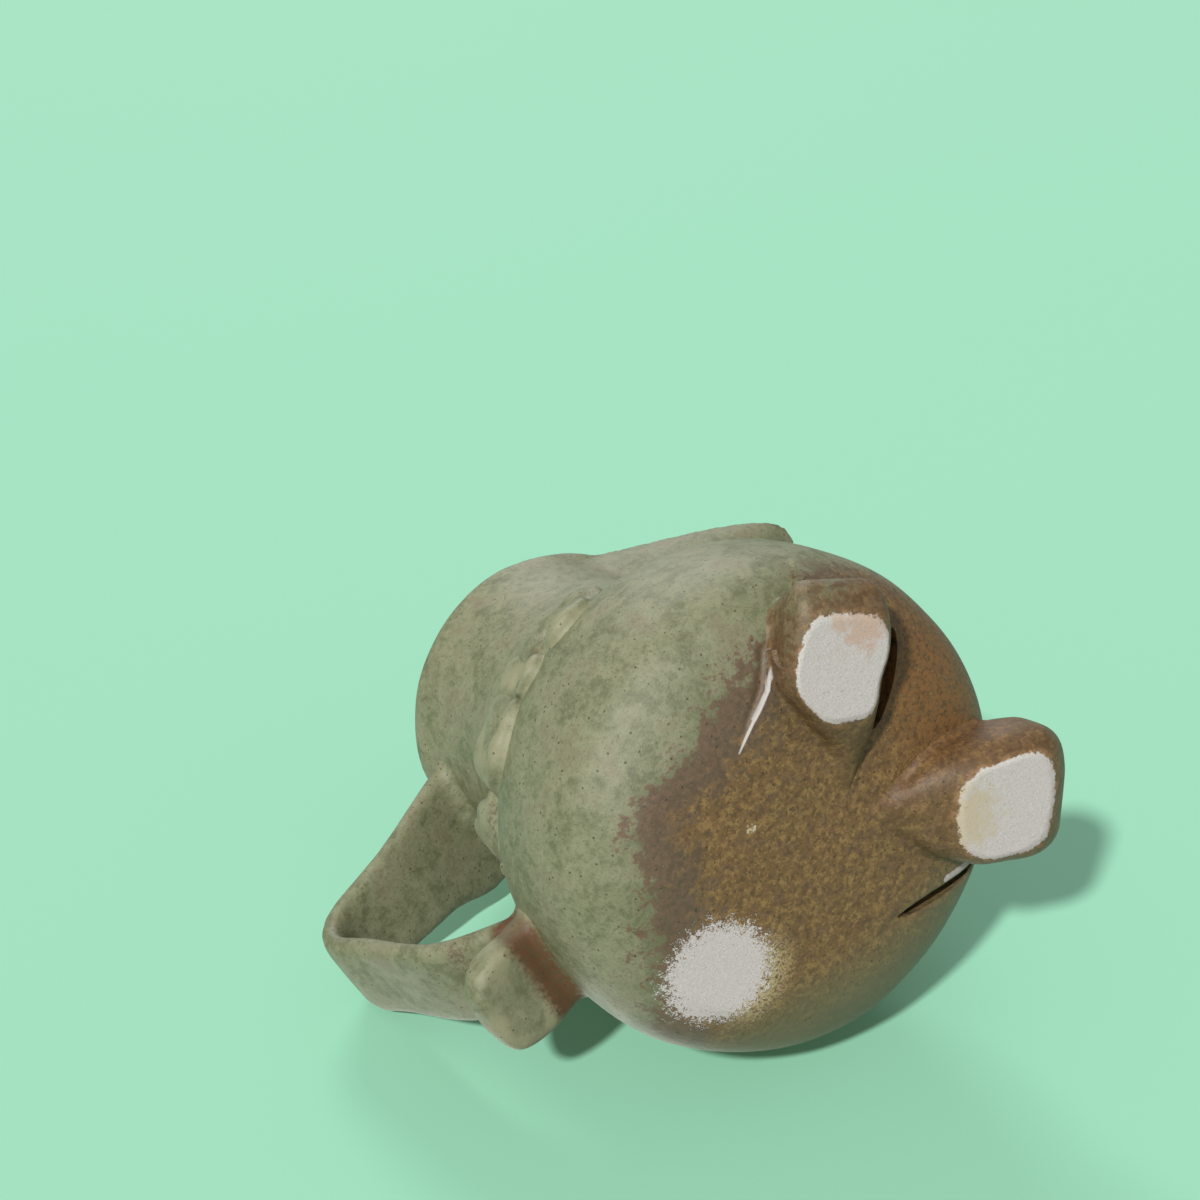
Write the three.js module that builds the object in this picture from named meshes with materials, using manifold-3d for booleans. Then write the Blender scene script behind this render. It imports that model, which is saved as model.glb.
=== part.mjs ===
// A small stoneware milk jug, thrown and hand built. It stands on two clay tongues at the front
// and on a flat ground into the back of its belly, so the pot leans back towards its handle.
// Millimetres, +Z up, +X towards the spout, +Y to the jug's left. The origin lies on the ground,
// in the middle of the jug's length and width.

import * as THREE from 'three';
import { mergeVertices } from 'three/addons/utils/BufferGeometryUtils.js';
import Module from 'manifold-3d';

const wasm = await Module();
wasm.setup();

const { lerp, smoothstep, clamp } = THREE.MathUtils;
const degree = Math.PI / 180;

// Driving dimensions. The pot frame has its origin in the middle of the belly's widest circle
// and its Z along the axis it was thrown on. Heights of the pot are measured from that circle,
// and reaches from the thrown axis.

const seam = 0.3; // gap left where two pieces of clay meet
const bite = 6; // how far an applied piece is drawn on into its neighbour before it is cut there

const potLean = 10.5 * degree; // the thrown axis leans back from the feet
const standTurn = -12 * degree; // the feet's middle line, turned from the spout to the right

const bellyRadius = 48;
const bellyDepth = 29; // from the widest circle down to the middle of the underside
const bellySquareness = 3.6; // power of the underside's rounded profile
const domeHeight = 33; // where the belly's upper curve would close, were it not cut for the neck
const bellyWall = 4.2;
const restFlatDepth = 0.9; // how deep the resting flat is ground into the belly

const shoulderHeight = 13; // where the neck stands on the belly
const neckLedge = 1.6; // the belly's shoulder stands out past the foot of the neck
const neckWall = 3.9;
const neckFootRise = 8; // how far up the neck's foot keeps running with the shoulder
const neckFootDraw = 8.8; // and how far it draws in over that rise
const waistRadius = 27.5;
const waistHeight = 55;
const rimRadius = 33.9;
const rimHeight = 75.7;
const rimWall = 3.4;

const spoutReach = 66; // the tip of the pouring lip
const spoutStart = 6.4; // the beak's first section, inside the neck
const spoutDip = 7; // the lip's tip lies below the rim
const spoutRootHeight = 42; // where the spout's throat leaves the neck
const spoutHalfAngle = 70 * degree; // half of the rim that the spout takes up
const spoutTipWidth = 15;
const spoutTipDepth = 1.2; // least depth of the beak, at its tip
const spoutWall = 3.4;
const spoutTurn = 8 * degree; // the spout sits a little round to the jug's left
const spoutNarrowing = 0.75; // power by which the beak narrows on its way out
const spoutClimb = 2.1; // power by which its underside climbs to the tip
const spoutFullness = 0.8; // power of its rounded cross section

const strapWidth = 20;
const strapTopWidth = 27; // where the strap is pressed onto the neck
const strapTopShift = 2; // and how far to the jug's left its middle lies there
const strapThickness = 4.8;
const strapTopHeight = 68; // where the strap leaves the neck
const strapTopSlope = 20 * degree; // how steeply it falls away from there
const strapElbowReach = 75.5; // the outside of the handle's bend
const strapElbowHeight = 48;
const strapElbowRise = 7; // from the bend up to the straight run above it
const strapElbowFall = 10; // from the bend down to the run below it
const strapElbowTuck = 6; // how far both runs lie inside the bend
const strapBow = 3; // how far the lower run bows out from a straight line
const strapFootHeight = 5; // where the strap comes down on the belly
const handleTurn = -1.5 * degree; // the handle sits a little round to the jug's left

const tailWidth = 19;
const tailThickness = 5.4;
const tailHeight = 6; // where the tail leaves the belly
const tailReach = 17.5; // how far the tail tongue stands out past the belly
const tailDrop = 9; // how far it falls on its way out
const tailRound = 0.5; // share of its width that is left at its rounded end

// Each foot's spread is its angle from the feet's middle line.
const rightFoot = { spread: -43 * degree, reach: 45, width: 18.5 };
const leftFoot = { spread: 41.5 * degree, reach: 49.5, width: 22 };
const footInnerReach = 12; // from the middle of the underside
const footSoleStart = 23;
const footRootWidth = 20;
const footRootStep = 1.8; // the tongue's thin inner end stands this proud of the underside
const footCorner = 3.2;
const footDraw = 4; // each tongue draws in this far on its way up to the belly
const footTopBelow = 4; // the tongues are drawn up to this far below the widest circle

const frillBandWidth = 3.4;
const frillBandLedge = 0.4; // the torn edge's middle line stands out past the foot of the neck
const frillBandHalfAngle = 90 * degree; // the torn edge runs this far to each side of the handle
const frillPadTilt = 40 * degree; // the pads lie back on the shoulder
// Each pad's length runs round the shoulder, its drop is below it, and its angle is from the handle.
const handlePad = { length: 10, width: 7.5, thickness: 6, drop: -3, angle: 32 * degree };
const longPad = { length: 18, width: 9, thickness: 5.6, drop: 2.5, angle: 49 * degree };
const leafPad = { length: 11, width: 9, thickness: 5.6, drop: 3, angle: 65 * degree };
const endPad = { length: 12, width: 9, thickness: 5.2, drop: 4.5, angle: 81 * degree };

const turnSteps = 48; // facets round the thrown pieces
const profileSteps = 14;
const weldDistance = 1e-4;

// Solids.

function solid(geometry) {
  const bare = geometry.index ? geometry.toNonIndexed() : geometry.clone();
  for (const name of Object.keys(bare.attributes)) {
    if (name !== 'position') bare.deleteAttribute(name);
  }
  const merged = mergeVertices(bare, weldDistance);
  const places = merged.attributes.position.array;
  const corners = [];
  for (let i = 0; i < merged.index.count; i += 3) {
    const a = merged.index.getX(i);
    const b = merged.index.getX(i + 1);
    const c = merged.index.getX(i + 2);
    if (a !== b && b !== c && c !== a) corners.push([a, b, c]);
  }
  const point = (i) => new THREE.Vector3().fromArray(places, 3 * i);
  let volume = 0;
  for (const [a, b, c] of corners) volume += point(a).dot(point(b).cross(point(c)));
  const faces = volume < 0 ? corners.map(([a, b, c]) => [a, c, b]) : corners;
  const mesh = new wasm.Mesh({
    numProp: 3,
    vertProperties: Float32Array.from(places),
    triVerts: Uint32Array.from(faces.flat()),
  });
  return new wasm.Manifold(mesh);
}

// The biggest lump of a body, where a cut leaves crumbs beside it.
function biggest(body) {
  return body.decompose().reduce((a, b) => (a.volume() > b.volume() ? a : b));
}

function surface(body) {
  const mesh = body.getMesh();
  const geometry = new THREE.BufferGeometry();
  geometry.setAttribute('position', new THREE.BufferAttribute(mesh.vertProperties, 3));
  geometry.setIndex(new THREE.BufferAttribute(mesh.triVerts, 1));
  geometry.computeVertexNormals();
  return geometry;
}

// A closed skin over a row of rings, each a list of points going the same way round.
function loft(rings) {
  const count = rings[0].length;
  const points = rings.flat();
  const faces = [];
  for (let row = 0; row + 1 < rings.length; row += 1) {
    for (let i = 0; i < count; i += 1) {
      const next = (i + 1) % count;
      const a = row * count + i;
      const b = row * count + next;
      faces.push(a, b, b + count, a, b + count, a + count);
    }
  }
  const cap = (ring, start, flip) => {
    const middle = new THREE.Vector3();
    for (const p of ring) middle.addScaledVector(p, 1 / count);
    points.push(middle);
    for (let i = 0; i < count; i += 1) {
      const a = start + i;
      const b = start + ((i + 1) % count);
      faces.push(points.length - 1, flip ? b : a, flip ? a : b);
    }
  };
  cap(rings[0], 0, true);
  cap(rings.at(-1), (rings.length - 1) * count, false);
  const geometry = new THREE.BufferGeometry().setFromPoints(points);
  geometry.setIndex(faces);
  return geometry;
}

// A rounded bar swept along a curve in the plane y = 0. Its section is sized by the place
// along the curve, from 0 to 1. Grow thickens it all round, and shift moves it sideways.
function strap(curve, { steps, width, thickness, shift = () => 0 }, grow) {
  const sectionSteps = 14;
  const square = (value) => Math.sign(value) * Math.sqrt(Math.abs(value));
  const rings = [];
  for (let i = 0; i <= steps; i += 1) {
    const along = i / steps;
    const middle = curve.getPointAt(along);
    const tangent = curve.getTangentAt(along);
    const across = new THREE.Vector3(-tangent.y, 0, tangent.x);
    const ring = [];
    for (let j = 0; j < sectionSteps; j += 1) {
      const angle = ((2 * j + 1) / sectionSteps) * Math.PI;
      const side = shift(along) + square(Math.cos(angle)) * (width(along) / 2 + grow);
      const rise = square(Math.sin(angle)) * (thickness(along) / 2 + grow);
      ring.push(new THREE.Vector3(middle.x, side, middle.y).addScaledVector(across, rise));
    }
    rings.push(ring);
  }
  return loft(rings).rotateZ(handleTurn);
}

function turned(profile) {
  return new THREE.LatheGeometry(profile, turnSteps).rotateX(Math.PI / 2);
}

// The belly's profile. Its lower half is a squared ellipse and its upper half a plain one.

function bellyCurve(offset, top) {
  const radius = bellyRadius - offset;
  const depth = bellyDepth - offset;
  const dome = domeHeight - offset;
  const power = 2 / bellySquareness;
  const points = [new THREE.Vector2(0, -depth)];
  for (let i = 1; i <= profileSteps; i += 1) {
    const angle = (i / profileSteps) * (Math.PI / 2);
    const x = radius * Math.sin(angle) ** power;
    points.push(new THREE.Vector2(x, -depth * Math.cos(angle) ** power));
  }
  const domeSteps = 5;
  for (let i = 1; i <= domeSteps; i += 1) {
    const height = (top * i) / domeSteps;
    points.push(new THREE.Vector2(radius * Math.sqrt(1 - (height / dome) ** 2), height));
  }
  return points;
}

function bellyRadiusAt(height) {
  return bellyRadius * Math.sqrt(1 - (height / domeHeight) ** 2);
}

// The whole belly as a closed lump, wider than itself by grow, to cut its neighbours with.
function bellyLump(grow) {
  const outline = bellyCurve(-grow, shoulderHeight + grow);
  outline.push(new THREE.Vector2(0, shoulderHeight + grow));
  return turned(outline);
}

// The neck's outer profile, from its foot on the shoulder up to the rim.

const neckFootRadius = bellyRadiusAt(shoulderHeight) - neckLedge;
const neckFootHeight = shoulderHeight + seam;
const neckOutline = new THREE.CubicBezierCurve(
  new THREE.Vector2(neckFootRadius, neckFootHeight),
  new THREE.Vector2(neckFootRadius - neckFootDraw, neckFootHeight + neckFootRise),
  new THREE.Vector2(waistRadius, waistHeight),
  new THREE.Vector2(rimRadius, rimHeight),
);

// The neck's profile moved in by the wall at each place along it.
function neckSide(wallAt) {
  const points = [];
  for (let i = 0; i <= profileSteps; i += 1) {
    const along = i / profileSteps;
    const p = neckOutline.getPoint(along);
    const tangent = neckOutline.getTangent(along);
    const y = i === 0 ? p.y : p.y + tangent.x * wallAt(along);
    points.push(new THREE.Vector2(p.x - tangent.y * wallAt(along), y));
  }
  return points;
}

function neckRing() {
  const outer = neckSide(() => 0);
  const inner = neckSide((along) => lerp(neckWall, rimWall, along));
  const middle = outer.at(-1).clone().lerp(inner.at(-1), 0.5);
  const rimSteps = 6;
  const rim = [];
  for (let i = 1; i < rimSteps; i += 1) {
    rim.push(outer.at(-1).clone().rotateAround(middle, (i / rimSteps) * Math.PI));
  }
  return turned([...outer, ...rim, ...inner.reverse(), outer[0].clone()]);
}

// The neck filled in and wider by grow, to cut its neighbours with.
function neckLump(grow) {
  const side = neckSide(() => -grow);
  const bottom = side[0].y - grow;
  const top = rimHeight + rimWall;
  return turned([
    new THREE.Vector2(0, bottom),
    new THREE.Vector2(side[0].x, bottom),
    ...side,
    new THREE.Vector2(side.at(-1).x, top),
    new THREE.Vector2(0, top),
  ]);
}

// The spout, a beak whose skin runs from a root in the neck out to the pouring lip. Across it
// goes from one side of the rim, down through the throat, to the other side. Inset moves the
// skin in by a wall, and openTop lifts the lid over the beak, so that it cuts the rim open.

function spoutBeak(inset, openTop) {
  const acrossSteps = 20;
  const outSteps = 9;
  const rimHalfWidth = (rimRadius - inset) * Math.sin(spoutHalfAngle);
  const tipHalfWidth = spoutTipWidth / 2 - inset;
  const rings = [];
  for (let row = 0; row <= outSteps; row += 1) {
    const out = row / outSteps;
    const lid = rimHeight + openTop - spoutDip * out;
    const halfWidth = lerp(rimHalfWidth, tipHalfWidth, out ** spoutNarrowing);
    const climb = Math.sin((out * Math.PI) / 2);
    const x = lerp(spoutStart, spoutReach - inset, climb);
    const floor = lerp(spoutRootHeight + inset, lid - spoutTipDepth, climb ** spoutClimb);
    const ring = [];
    for (let i = 0; i <= acrossSteps; i += 1) {
      const angle = (i / acrossSteps) * Math.PI;
      const z = lerp(lid, floor, Math.sin(angle) ** spoutFullness);
      ring.push(new THREE.Vector3(x, -halfWidth * Math.cos(angle), z));
    }
    rings.push(ring);
  }
  return loft(rings).rotateZ(spoutTurn);
}

// The handle's strap runs out from under the rim, bends sharply and comes down on the belly.
// Its middle line is given by reaches from the thrown axis and heights.

const strapRunReach = strapElbowReach - strapElbowTuck;
const strapRunTop = strapElbowHeight + strapElbowRise;
const strapRunFoot = strapElbowHeight - strapElbowFall;
const strapPath = new THREE.CatmullRomCurve3(
  [
    [rimRadius - bite, strapTopHeight + bite * Math.tan(strapTopSlope)],
    [rimRadius, strapTopHeight],
    [lerp(rimRadius, strapRunReach, 0.5), lerp(strapTopHeight, strapRunTop, 0.6)],
    [strapRunReach, strapRunTop],
    [strapElbowReach - strapThickness / 2, strapElbowHeight],
    [strapRunReach, strapRunFoot],
    [lerp(strapRunReach, bellyRadius, 0.5) + strapBow, lerp(strapRunFoot, strapFootHeight, 0.6)],
    [bellyRadius, strapFootHeight],
    [bellyRadius - bite, strapFootHeight - bite],
  ].map(([reach, height]) => new THREE.Vector3(-reach, height, 0)),
  false,
  'centripetal',
);

// From 1 at the neck to 0 where the strap has drawn in to its common width.
function strapTopness(along) {
  return 1 - smoothstep(along, 0, 0.4);
}

function strapBar(grow) {
  const shape = {
    steps: 30,
    width: (along) => lerp(strapWidth, strapTopWidth, strapTopness(along)),
    thickness: () => strapThickness,
    shift: (along) => strapTopShift * strapTopness(along),
  };
  return strap(strapPath, shape, grow);
}

// The tail is the end of the strap, folded back out from the belly as a short thick tongue.

const tailEndHeight = tailHeight - tailDrop;
const tailPath = new THREE.QuadraticBezierCurve3(
  new THREE.Vector3(-bellyRadius + bite, tailHeight, 0),
  new THREE.Vector3(-bellyRadius - tailReach / 3, tailHeight, 0),
  new THREE.Vector3(-bellyRadius - tailReach, tailEndHeight, 0),
);

function tailBar() {
  const endness = (along) => smoothstep(along, 0.7, 1) ** 2;
  const shape = {
    steps: 12,
    width: (along) => tailWidth * lerp(1, tailRound, endness(along)),
    thickness: (along) => tailThickness * lerp(1, tailRound, endness(along)),
  };
  return strap(tailPath, shape, 0);
}

// The pot frame is leaned and lifted so that the resting flat lies on the ground. The lowest
// point of a leaning squared ellipse comes from the power that belongs to its own.

const dualPower = bellySquareness / (bellySquareness - 1);
const bellyHang = (
  (bellyRadius * Math.sin(potLean)) ** dualPower + (bellyDepth * Math.cos(potLean)) ** dualPower
) ** (1 / dualPower);
const potLift = bellyHang - restFlatDepth;

function stand(geometry) {
  const hinge = new THREE.Vector3(-Math.sin(standTurn), Math.cos(standTurn), 0);
  const turn = new THREE.Matrix4().makeRotationAxis(hinge, -potLean);
  const lift = new THREE.Matrix4().makeTranslation(0, 0, potLift);
  return solid(geometry.applyMatrix4(lift.multiply(turn)));
}

// Everything below the ground, to cut the resting flat with.
const farSide = 4 * bellyRadius;
const earth = solid(new THREE.BoxGeometry(farSide, farSide, farSide).translate(0, 0, -farSide / 2));

const bellyCutter = stand(bellyLump(seam));
const neckCutter = stand(neckLump(seam));

// Belly.

function belly() {
  const outer = bellyCurve(0, shoulderHeight);
  const inner = bellyCurve(bellyWall, shoulderHeight);
  return stand(turned([...outer, ...inner.reverse()])).subtract(earth);
}

// Neck, opened at the front for the spout's throat, and the spout on it.

const spoutHollow = stand(spoutBeak(spoutWall, bite));

function neck() {
  return stand(neckRing()).subtract(spoutHollow);
}

function spout() {
  return stand(spoutBeak(0, 0)).subtract(spoutHollow).subtract(neckCutter);
}

// Handle and tail.

function handle() {
  return stand(strapBar(0)).subtract(neckCutter).subtract(bellyCutter);
}

function tail() {
  return biggest(stand(tailBar()).subtract(bellyCutter).subtract(stand(strapBar(seam))));
}

// Feet. Each tongue starts near the middle of the underside and runs out to a rounded end.
// Sections are taken across it, from its sole or underside up into the belly, which then
// cuts its top.

function foot({ spread, reach: outerReach, width }) {
  const angle = standTurn + spread;
  const aim = new THREE.Vector3(Math.cos(standTurn), Math.sin(standTurn), 0);
  const outward = new THREE.Vector3(Math.cos(angle), Math.sin(angle), 0);
  const sideways = new THREE.Vector3(-Math.sin(angle), Math.cos(angle), 0);
  const undersideMiddle = aim.clone().multiplyScalar(bellyDepth * Math.sin(potLean));
  const undersideHeight = potLift - bellyDepth * Math.cos(potLean);
  const at = (out, side, height) => new THREE.Vector3()
    .addScaledVector(outward, out)
    .addScaledVector(sideways, side)
    .setZ(height)
    .add(undersideMiddle);
  const steps = 14;
  const rings = [];
  for (let row = 0; row <= steps; row += 1) {
    const out = lerp(footInnerReach, outerReach, row / steps);
    const end = smoothstep(out, outerReach - footCorner, outerReach);
    const root = clamp((footSoleStart - out) / (footSoleStart - footInnerReach), 0, 1);
    const half = lerp(footRootWidth, width, row / steps) / 2 - end * footCorner;
    const corner = lerp(footCorner, footRootStep / 2, root);
    const edge = (side, rise) => {
      const ahead = at(out, side, 0).sub(undersideMiddle).dot(aim);
      const underside = undersideHeight + ahead * Math.sin(potLean);
      return at(out, side, (underside - footRootStep) * root + rise + end * footCorner);
    };
    const top = (side) => at(out - end * footDraw, side, potLift - footTopBelow);
    rings.push([
      top(-half + footDraw),
      edge(-half, corner),
      edge(-half + corner / 3, corner / 3),
      edge(-half + corner, 0),
      edge(half - corner, 0),
      edge(half - corner / 3, corner / 3),
      edge(half, corner),
      top(half - footDraw),
    ]);
  }
  return solid(loft(rings)).subtract(bellyCutter);
}

// Frill. A torn edge of clay lies in the corner between neck and shoulder, round the back of
// the jug, and pads pressed on with a finger lie along it.

function frillBand(grow) {
  const steps = 36;
  const sides = 6;
  const radius = neckFootRadius + frillBandLedge;
  const rings = [];
  for (let i = 0; i <= steps; i += 1) {
    const along = lerp(-1, 1, i / steps);
    const angle = Math.PI + along * frillBandHalfAngle;
    const size = (frillBandWidth / 2) * lerp(1, 0.4, along ** 6) + grow;
    const ring = [];
    for (let j = 0; j < sides; j += 1) {
      const round = (j / sides) * 2 * Math.PI;
      const reach = radius + size * Math.cos(round);
      const height = shoulderHeight + frillBandWidth / 2 + size * Math.sin(round);
      ring.push(new THREE.Vector3(reach * Math.cos(angle), reach * Math.sin(angle), height));
    }
    rings.push(ring);
  }
  return stand(loft(rings));
}

function frillPad({ length, width, thickness, drop, angle }, side, grow) {
  const height = shoulderHeight - drop;
  const lump = new THREE.SphereGeometry(1, 12, 8)
    .scale(thickness / 2 + grow, length / 2 + grow, width / 2 + grow)
    .rotateY(-frillPadTilt)
    .translate(bellyRadiusAt(height), 0, height)
    .rotateZ(Math.PI + side * angle);
  return stand(lump);
}

// The jug.

const jug = new THREE.Group();

const clays = {
  celadon: { color: 0x8a8b6e, roughness: 0.42 },
  rust: { color: 0x7c5a3c, roughness: 0.5 },
  paleSlip: { color: 0xa39a83, roughness: 0.5 },
};

function add(name, body, { color, roughness }) {
  const material = new THREE.MeshStandardMaterial({ color, roughness, metalness: 0 });
  const mesh = new THREE.Mesh(surface(body), material);
  mesh.name = name;
  jug.add(mesh);
}

add('belly', belly(), clays.celadon);
add('neck', neck(), clays.celadon);
add('spout', spout(), clays.celadon);
add('handle_strap', handle(), clays.celadon);
add('handle_tail', tail(), clays.paleSlip);
add('foot_right', foot(rightFoot), clays.rust);
add('foot_left', foot(leftFoot), clays.rust);
add('frill_band', frillBand(0).subtract(neckCutter).subtract(bellyCutter), clays.paleSlip);

// Each pad is cut away where the pad before it already lies.
const pads = { handle: handlePad, long: longPad, leaf: leafPad, end: endPad };
for (const [sideName, side] of Object.entries({ right: 1, left: -1 })) {
  let taken = bellyCutter.add(neckCutter).add(frillBand(seam));
  for (const [padName, pad] of Object.entries(pads)) {
    const pressed = biggest(frillPad(pad, side, 0).subtract(taken));
    add(`frill_pad_${padName}_${sideName}`, pressed, clays.paleSlip);
    taken = taken.add(frillPad(pad, side, seam));
  }
}

// The origin goes to the middle of the jug's length and width.
const middle = new THREE.Box3().setFromObject(jug).getCenter(new THREE.Vector3());
jug.position.set(-middle.x, -middle.y, 0);

export default jug;
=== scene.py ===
"""Looks of a small hand-made stoneware milk jug, seen lying on its side.

The pieces are modelled upright in the pot frame: millimetres, Z along the thrown axis, its origin in the
middle of the belly's widest circle, X towards the spout and Y to the jug's left. stand() then leans each one
back on its feet and sets it in the part's frame, in metres.
"""

import math

import bmesh
import bpy
import numpy as np
from mathutils import Matrix, Vector


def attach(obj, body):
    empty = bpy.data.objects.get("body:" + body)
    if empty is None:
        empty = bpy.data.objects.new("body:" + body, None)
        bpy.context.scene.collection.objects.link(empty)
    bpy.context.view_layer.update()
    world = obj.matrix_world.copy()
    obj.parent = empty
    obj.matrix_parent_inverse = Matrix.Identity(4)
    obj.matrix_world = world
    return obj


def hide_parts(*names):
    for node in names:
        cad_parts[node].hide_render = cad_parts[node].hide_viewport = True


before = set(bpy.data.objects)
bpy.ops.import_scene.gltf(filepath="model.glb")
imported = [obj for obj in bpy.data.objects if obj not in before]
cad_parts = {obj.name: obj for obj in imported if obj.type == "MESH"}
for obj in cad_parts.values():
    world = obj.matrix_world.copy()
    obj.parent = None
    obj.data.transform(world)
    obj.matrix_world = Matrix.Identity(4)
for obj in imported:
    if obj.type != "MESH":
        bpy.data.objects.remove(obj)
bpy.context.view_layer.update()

# Sizes of the pot, as in the part's source.

LEAN = math.radians(10.5)
STAND_TURN = math.radians(-12)
BELLY_RADIUS = 48
BELLY_DEPTH = 29
BELLY_POWER = 3.6
DOME_HEIGHT = 33
BELLY_WALL = 4.2
REST_DEPTH = 0.9
SHOULDER = 13
NECK_FOOT = (42.52, 13.3)
NECK_LEAD = (33.72, 21.3)
WAIST = (27.5, 55)
RIM = (33.9, 75.7)
NECK_WALL = 3.9
RIM_WALL = 3.4

# How far the belly hangs under its middle when it leans, and the way from the pot frame to the part's.
dual = BELLY_POWER / (BELLY_POWER - 1)
hang = ((BELLY_RADIUS * math.sin(LEAN)) ** dual + (BELLY_DEPTH * math.cos(LEAN)) ** dual) ** (1 / dual)
hinge = Vector((-math.sin(STAND_TURN), math.cos(STAND_TURN), 0))
lean = Matrix.Rotation(-LEAN, 4, hinge)
MM = 0.001
MIDDLE = (14.9003, -0.2281)
SHIFT = Vector((*MIDDLE, hang - REST_DEPTH))
STAND = Matrix.Scale(MM, 4) @ Matrix.Translation(SHIFT) @ lean


# Camera. The jug lies on its left side and handle, and the camera looks up at its underside.

CAMERA_PLACE = (-0.03004, -0.21255, -0.28458)
CAMERA_TURN = (160.69, 20.593, 30.577)
camera_data = bpy.data.cameras.new("camera")
camera_data.lens = 60
camera_data.sensor_width = 36
camera = bpy.data.objects.new("camera", camera_data)
bpy.context.scene.collection.objects.link(camera)
camera.location = CAMERA_PLACE
camera.rotation_euler = [math.radians(a) for a in CAMERA_TURN]
camera_data.clip_start = 0.01
bpy.context.scene.camera = camera


# Modelling by hand. Edges sharper than the crease angle are shaded as creases.

CREASE_ANGLE = 35


def only(*pieces):
    """Selects these pieces alone, the first one active, in object mode."""
    if bpy.context.object and bpy.context.object.mode != "OBJECT":
        bpy.ops.object.mode_set(mode="OBJECT")
    bpy.ops.object.select_all(action="DESELECT")
    for piece in pieces:
        piece.select_set(True)
    bpy.context.view_layer.objects.active = pieces[0]


def named(name):
    piece = bpy.context.object
    piece.name = piece.data.name = name
    return piece


def edit(piece):
    only(piece)
    bpy.ops.object.mode_set(mode="EDIT")


def done():
    bpy.ops.object.mode_set(mode="OBJECT")


def pick(piece, test):
    """Selects, in edit mode, the vertices whose place passes the test."""
    bpy.ops.mesh.select_all(action="DESELECT")
    mesh = bmesh.from_edit_mesh(piece.data)
    for vertex in mesh.verts:
        vertex.select = test(vertex.co)
    mesh.select_flush(True)
    bmesh.update_edit_mesh(piece.data)


def finish_with(piece, kind, **settings):
    """Adds a modifier and applies it."""
    only(piece)
    modifier = piece.modifiers.new(kind.lower(), kind)
    for key, value in settings.items():
        setattr(modifier, key, value)
    bpy.ops.object.modifier_apply(modifier=modifier.name)
    return piece


def thrown(name, profile, steps):
    """A profile of (reach, height) points, turned all the way round the thrown axis."""
    bpy.ops.object.select_all(action="DESELECT")
    bpy.ops.mesh.primitive_plane_add(size=1)
    piece = named(name)
    edit(piece)
    bpy.ops.mesh.select_all(action="SELECT")
    bpy.ops.mesh.merge(type="CENTER")
    bpy.ops.transform.translate(value=(profile[0][0], 0, profile[0][1]))
    for (r0, z0), (r1, z1) in zip(profile, profile[1:]):
        bpy.ops.mesh.extrude_region_move(TRANSFORM_OT_translate={"value": (r1 - r0, 0, z1 - z0)})
    bpy.ops.mesh.select_all(action="SELECT")
    bpy.ops.mesh.spin(steps=steps, angle=2 * math.pi, center=(0, 0, 0), axis=(0, 0, 1))
    bpy.ops.mesh.select_all(action="SELECT")
    bpy.ops.mesh.remove_doubles(threshold=0.01)
    bpy.ops.mesh.dissolve_degenerate(threshold=0.005)
    bpy.ops.mesh.select_all(action="SELECT")
    bpy.ops.mesh.normals_make_consistent(inside=False)
    done()
    return piece


def copied(node, name):
    """A copy of a CAD solid, merged, taken back to the pot frame."""
    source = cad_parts[node]
    piece = bpy.data.objects.new(name, source.data.copy())
    bpy.context.scene.collection.objects.link(piece)
    piece.data.materials.clear()
    piece.matrix_world = STAND.inverted() @ source.matrix_world
    only(piece)
    bpy.ops.object.transform_apply(location=True, rotation=True, scale=True)
    edit(piece)
    bpy.ops.mesh.select_all(action="SELECT")
    bpy.ops.mesh.remove_doubles(threshold=0.005)
    done()
    return piece


def ball(place, size, turn=(0, 0, 0)):
    """A lump of clay, an egg of this length, width and thickness."""
    bpy.ops.object.select_all(action="DESELECT")
    bpy.ops.mesh.primitive_uv_sphere_add(segments=32, ring_count=20, radius=0.5, location=place)
    piece = named("lump")
    piece.scale = size
    piece.rotation_euler = [math.radians(a) for a in turn]
    only(piece)
    bpy.ops.object.transform_apply(location=True, rotation=True, scale=True)
    return piece


def notch(start, end, width, depth):
    """An egg-shaped lump along a line, to press a slot with."""
    start, end = Vector(start), Vector(end)
    line = end - start
    turn = math.degrees(math.atan2(line.y, line.x))
    tilt = -math.degrees(math.atan2(line.z, math.hypot(line.x, line.y)))
    return ball((start + end) / 2, (line.length, width, depth), (0, tilt, turn))


def shaped(piece, by, how):
    """Cuts a piece by another one, which stays."""
    return finish_with(piece, "BOOLEAN", object=by, operation=how, solver="MANIFOLD")


def cut(piece, cutter, how="DIFFERENCE"):
    shaped(piece, cutter, how)
    bpy.data.objects.remove(cutter)
    return piece


def twin(piece):
    """A separate copy of a piece."""
    copy = piece.copy()
    copy.data = piece.data.copy()
    bpy.context.scene.collection.objects.link(copy)
    return copy


def remeshed(piece, voxel, rounds):
    """Gives a piece an even mesh and smooths it so many times."""
    finish_with(piece, "REMESH", mode="VOXEL", voxel_size=voxel, adaptivity=0)
    if rounds:
        finish_with(piece, "SMOOTH", factor=0.5, iterations=rounds)
    return piece


def fused(name, parts, voxel, rounds):
    """Lumps of clay pressed into one, with their corners and hollows smoothed."""
    only(*parts)
    if len(parts) > 1:
        bpy.ops.object.join()
    piece = named(name)
    remeshed(piece, voxel, rounds)
    return piece


def filled(piece, radius, voxel):
    """Fills the hollows where lumps meet, as a finger smooths them: out by the radius and in again."""
    finish_with(piece, "DISPLACE", strength=radius, mid_level=0)
    remeshed(piece, voxel, 3)
    finish_with(piece, "DISPLACE", strength=-radius, mid_level=0)
    return remeshed(piece, voxel, 0)


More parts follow.
